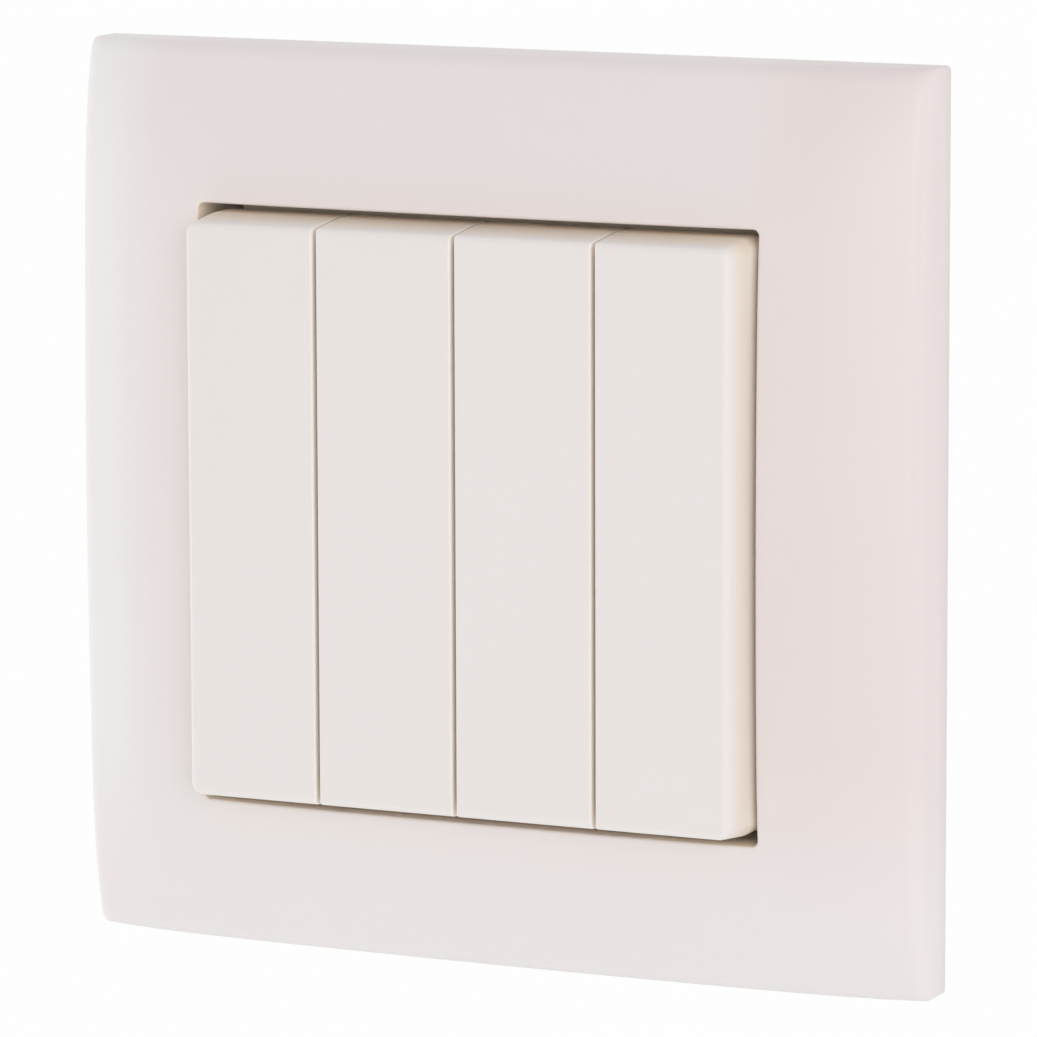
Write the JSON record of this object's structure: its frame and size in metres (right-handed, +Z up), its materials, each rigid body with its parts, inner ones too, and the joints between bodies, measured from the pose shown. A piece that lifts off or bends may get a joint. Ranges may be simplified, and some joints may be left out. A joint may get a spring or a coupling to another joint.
{
  "type": "four-gang push button switch",
  "caption": "Flush wall switch: crowned square cover frame with tall narrow push keys side by side on rocker levers, over a screwless insert with a steel support ring.",
  "frame": {"origin": "middle of the wall plane, which the back of the support ring and of the cover frame lie on", "axes": "+X right as seen by the user, +Y into the wall, +Z up; the keys face -Y"},
  "size_m": [0.084, 0.0359, 0.084],
  "materials": {
    "cover_plastic": "satin warm white",
    "key_plastic": "satin warm white",
    "lever_plastic": "matte light grey",
    "insert_plastic": "matte grey",
    "base_plastic": "matte pale grey",
    "plunger_plastic": "matte natural white",
    "ring_steel": "zinc plated sheet",
    "screw_steel": "yellow zinc plated",
    "spring_steel": "bright spring steel",
    "contact_brass": "plain brass strip",
    "contact_silver": "silver contact tip"
  },
  "bodies": {
    "insert": {"cover_frame": "cover_plastic", "support_ring": "ring_steel", "bearing_frame": "insert_plastic", "base": "base_plastic", "assembly_screws": "screw_steel", "common_rail": "contact_brass", "fixed_tips": "contact_silver", "clamp_springs": "spring_steel", "fixed_contact_1": "contact_brass", "fixed_contact_2": "contact_brass", "fixed_contact_3": "contact_brass", "fixed_contact_4": "contact_brass", "return_spring_1": "spring_steel", "return_spring_2": "spring_steel", "return_spring_3": "spring_steel", "return_spring_4": "spring_steel"},
    "key_1": {"push_key_1": "key_plastic", "rocker_lever_1": "lever_plastic"},
    "plunger_1": {"plunger_1": "plunger_plastic", "contact_bridge_1": "contact_brass", "bridge_tips_1": "contact_silver"},
    "key_2": {"push_key_2": "key_plastic", "rocker_lever_2": "lever_plastic"},
    "plunger_2": {"plunger_2": "plunger_plastic", "contact_bridge_2": "contact_brass", "bridge_tips_2": "contact_silver"},
    "key_3": {"push_key_3": "key_plastic", "rocker_lever_3": "lever_plastic"},
    "plunger_3": {"plunger_3": "plunger_plastic", "contact_bridge_3": "contact_brass", "bridge_tips_3": "contact_silver"},
    "key_4": {"push_key_4": "key_plastic", "rocker_lever_4": "lever_plastic"},
    "plunger_4": {"plunger_4": "plunger_plastic", "contact_bridge_4": "contact_brass", "bridge_tips_4": "contact_silver"}
  },
  "joints": [
    {"name": "key_1_tilt", "type": "hinge", "parent": "insert", "child": "key_1", "pos_m": [-0.02065, -0.007, 0], "axis": [1, 0, 0], "range_deg": [0, 5], "stiffness_Nm_per_rad": 0.5, "springref_deg": -5.16},
    {"name": "key_2_tilt", "type": "hinge", "parent": "insert", "child": "key_2", "pos_m": [-0.00688, -0.007, 0], "axis": [1, 0, 0], "range_deg": [0, 5], "stiffness_Nm_per_rad": 0.5, "springref_deg": -5.16},
    {"name": "key_3_tilt", "type": "hinge", "parent": "insert", "child": "key_3", "pos_m": [0.00688, -0.007, 0], "axis": [1, 0, 0], "range_deg": [0, 5], "stiffness_Nm_per_rad": 0.5, "springref_deg": -5.16},
    {"name": "key_4_tilt", "type": "hinge", "parent": "insert", "child": "key_4", "pos_m": [0.02065, -0.007, 0], "axis": [1, 0, 0], "range_deg": [0, 5], "stiffness_Nm_per_rad": 0.5, "springref_deg": -5.16},
    {"name": "plunger_1_slide", "type": "slide", "parent": "insert", "child": "plunger_1", "axis": [0, 1, 0], "range_m": [0, 0.0008], "deforming": ["return_spring_1"]},
    {"name": "plunger_2_slide", "type": "slide", "parent": "insert", "child": "plunger_2", "axis": [0, 1, 0], "range_m": [0, 0.0008], "deforming": ["return_spring_2"]},
    {"name": "plunger_3_slide", "type": "slide", "parent": "insert", "child": "plunger_3", "axis": [0, 1, 0], "range_m": [0, 0.0008], "deforming": ["return_spring_3"]},
    {"name": "plunger_4_slide", "type": "slide", "parent": "insert", "child": "plunger_4", "axis": [0, 1, 0], "range_m": [0, 0.0008], "deforming": ["return_spring_4"]}
  ],
  "couplings": [
    {"joint": "plunger_1_slide", "follows": "key_1_tilt", "m_per_rad": 0.009},
    {"joint": "plunger_2_slide", "follows": "key_2_tilt", "m_per_rad": 0.009},
    {"joint": "plunger_3_slide", "follows": "key_3_tilt", "m_per_rad": 0.009},
    {"joint": "plunger_4_slide", "follows": "key_4_tilt", "m_per_rad": 0.009}
  ]
}
